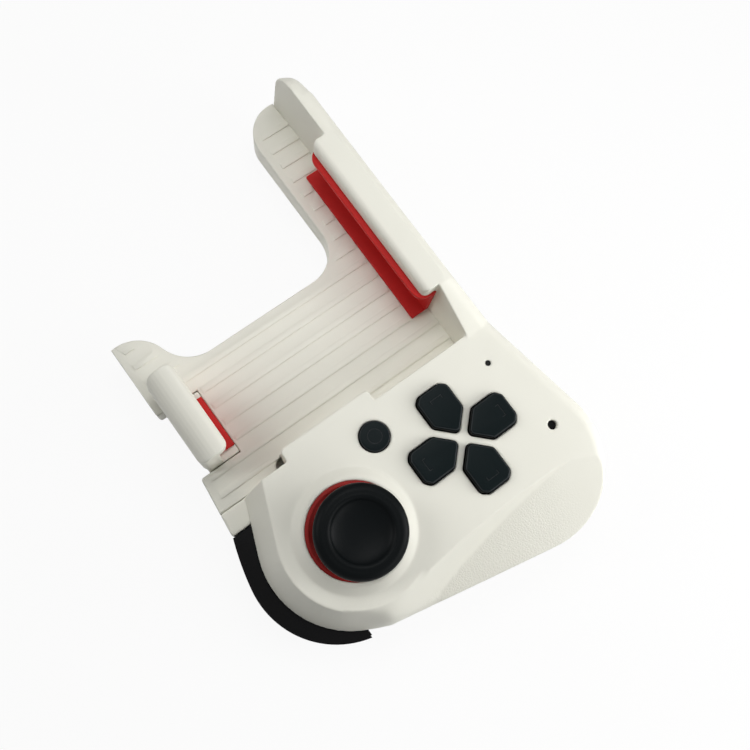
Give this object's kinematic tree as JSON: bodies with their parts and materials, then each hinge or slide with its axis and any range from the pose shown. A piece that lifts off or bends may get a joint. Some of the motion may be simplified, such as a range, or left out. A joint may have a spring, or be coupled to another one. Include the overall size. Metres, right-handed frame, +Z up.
{
  "type": "clip-on game controller",
  "caption": "One-handed clip-on game controller: ribbed phone tray between a fixed jaw and a sprung clamp, with a thumb stick, direction keys and shoulder triggers on the body.",
  "frame": {"origin": "centre of the bounding box in plan, on the plane of the body's flat back", "axes": "+X from the body along the tray's arm, +Y from the fixed jaw towards the sliding clamp and the triggers, +Z up out of the front face"},
  "size_m": [0.1436, 0.0962, 0.0355],
  "materials": {
    "white_plastic": "fine moulded texture, warm white",
    "black_plastic": "satin, blue-black",
    "red_rubber": "matte, deep red",
    "grey_rubber": "matte",
    "dark_foam": "matte foam",
    "clear_plastic": "clear, polished",
    "board": "green solder mask",
    "components": "matte",
    "steel": "plain, drawn or turned",
    "battery_wrap": "silver film"
  },
  "bodies": {
    "housing": {"front_shell": "white_plastic", "rear_shell": "white_plastic", "jaw_rail": "white_plastic", "phone_tray": "white_plastic", "tray_cover": "white_plastic", "stick_base": "black_plastic", "fixed_pad": "red_rubber", "stick_ring": "red_rubber", "key_membrane": "grey_rubber", "battery_foam": "dark_foam", "light_pipe": "clear_plastic", "main_board": "board", "trigger_board": "board", "board_switches": "components", "board_chips": "components", "trigger_switches": "components", "clamp_springs": "steel", "usb_port": "steel", "trigger_pin": "steel", "front_spring": "steel", "rear_spring": "steel", "shell_screws": "steel", "tray_screws": "steel", "rail_screws": "steel", "battery": "battery_wrap"},
    "clamp": {"clamp_slider": "white_plastic", "clamp_pad": "red_rubber"},
    "right_key": {"key_right": "black_plastic"},
    "up_key": {"key_up": "black_plastic"},
    "left_key": {"key_left": "black_plastic"},
    "down_key": {"key_down": "black_plastic"},
    "home_key": {"home_button": "black_plastic"},
    "reset_key": {"reset_button": "black_plastic"},
    "stick_roller": {"stick_cradle": "white_plastic"},
    "stick": {"stick_stem": "black_plastic", "stick_cap": "black_plastic"},
    "stick_yoke": {"stick_arch": "white_plastic"},
    "front_trigger": {"trigger_front": "black_plastic"},
    "rear_trigger": {"trigger_rear": "black_plastic"}
  },
  "joints": [
    {"name": "clamp_slide", "type": "slide", "parent": "housing", "child": "clamp", "axis": [0, 1, 0], "range_m": [0, 0.025], "stiffness_N_per_m": 120, "springref_m": -0.025, "deforming": ["clamp_springs"]},
    {"name": "right_key_press", "type": "slide", "parent": "housing", "child": "right_key", "axis": [0, 0, -1], "range_m": [0, 0.001], "stiffness_N_per_m": 400, "springref_m": -0.0005},
    {"name": "up_key_press", "type": "slide", "parent": "housing", "child": "up_key", "axis": [0, 0, -1], "range_m": [0, 0.001], "stiffness_N_per_m": 400, "springref_m": -0.0005},
    {"name": "left_key_press", "type": "slide", "parent": "housing", "child": "left_key", "axis": [0, 0, -1], "range_m": [0, 0.001], "stiffness_N_per_m": 400, "springref_m": -0.0005},
    {"name": "down_key_press", "type": "slide", "parent": "housing", "child": "down_key", "axis": [0, 0, -1], "range_m": [0, 0.001], "stiffness_N_per_m": 400, "springref_m": -0.0005},
    {"name": "home_press", "type": "slide", "parent": "housing", "child": "home_key", "axis": [0, 0, -1], "range_m": [0, 0.0006], "stiffness_N_per_m": 400, "springref_m": -0.0005},
    {"name": "reset_press", "type": "slide", "parent": "housing", "child": "reset_key", "axis": [0, 0, -1], "range_m": [0, 0.0004], "stiffness_N_per_m": 400, "springref_m": -0.0005},
    {"name": "stick_tilt_x", "type": "hinge", "parent": "housing", "child": "stick_roller", "pos_m": [-0.0375, 0.0196, 0.02], "axis": [1, 0, 0], "range_deg": [-14, 14], "stiffness_Nm_per_rad": 0.02},
    {"name": "stick_tilt_y", "type": "hinge", "parent": "stick_roller", "child": "stick", "pos_m": [-0.0375, 0.0196, 0.02], "axis": [0, 1, 0], "range_deg": [-9.7, 18.3], "stiffness_Nm_per_rad": 0.02},
    {"name": "stick_yoke_turn", "type": "hinge", "parent": "housing", "child": "stick_yoke", "pos_m": [-0.0375, 0.0196, 0.02], "axis": [0, 1, 0], "range_deg": [-9.7, 18.3]},
    {"name": "front_trigger_press", "type": "hinge", "parent": "housing", "child": "front_trigger", "pos_m": [-0.02371, 0.03603, 0.0075], "axis": [0, 0, 1], "range_deg": [0, 4], "stiffness_Nm_per_rad": 0.3, "springref_deg": -2.86, "deforming": ["front_spring"]},
    {"name": "rear_trigger_press", "type": "hinge", "parent": "housing", "child": "rear_trigger", "pos_m": [-0.02371, 0.03603, 0.0075], "axis": [0, 0, 1], "range_deg": [0, 4], "stiffness_Nm_per_rad": 0.3, "springref_deg": -2.86, "deforming": ["rear_spring"]}
  ],
  "couplings": [
    {"joint": "stick_yoke_turn", "follows": "stick_tilt_y", "ratio": 1}
  ]
}
